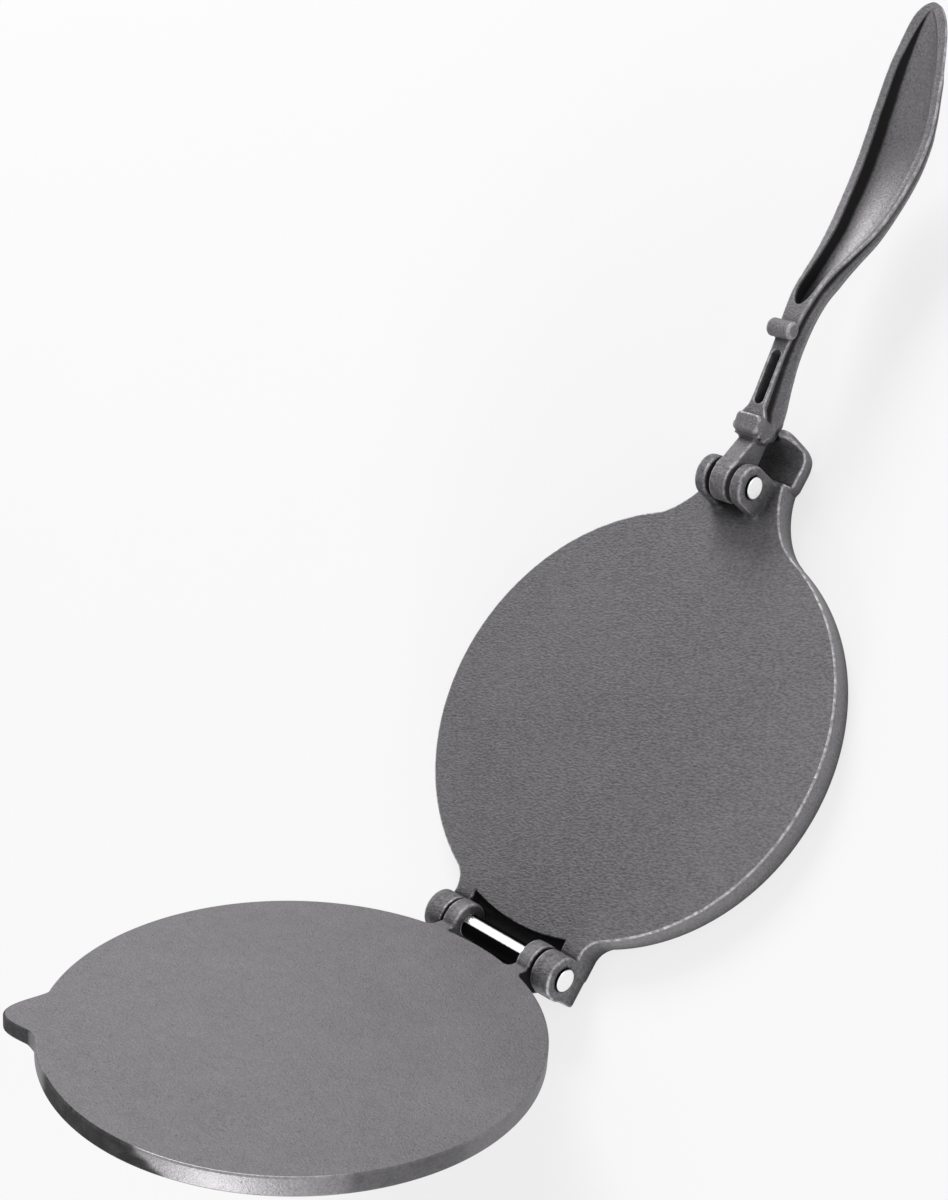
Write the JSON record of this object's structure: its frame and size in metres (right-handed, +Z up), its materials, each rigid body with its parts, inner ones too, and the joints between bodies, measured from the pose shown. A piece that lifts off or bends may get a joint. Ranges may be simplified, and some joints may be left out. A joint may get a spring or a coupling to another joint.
{
  "type": "tortilla press",
  "caption": "Cast iron tortilla press with a round base and neck, a hinged round lid with a lift tab, and a lever handle on a steel pin.",
  "frame": {"origin": "centre of the base disc, on the table plane", "axes": "+Z up; the lid's hinge axis lies along X at the back on +Y; the handle points to the front along -Y at rest"},
  "size_m": [0.2068, 0.5926, 0.1951],
  "materials": {
    "base_iron": "fine sand-cast grain, oiled grey",
    "lid_iron": "fine sand-cast grain, oiled grey",
    "handle_iron": "fine sand-cast grain, oiled grey",
    "pin_steel": "bright turned steel"
  },
  "bodies": {
    "base": {"base_plate": "base_iron", "hinge_pin": "pin_steel", "handle_pin": "pin_steel"},
    "lid": {"lid_plate": "lid_iron"},
    "handle": {"handle": "handle_iron"}
  },
  "joints": [
    {"name": "lid_hinge", "type": "hinge", "parent": "base", "child": "lid", "pos_m": [0, 0.1145, 0.0166], "axis": [1, 0, 0], "range_deg": [0, 125]},
    {"name": "handle_pivot", "type": "hinge", "parent": "base", "child": "handle", "pos_m": [-0.0008, -0.1169, 0.0264], "axis": [-1, 0, 0], "range_deg": [0, 165]}
  ]
}
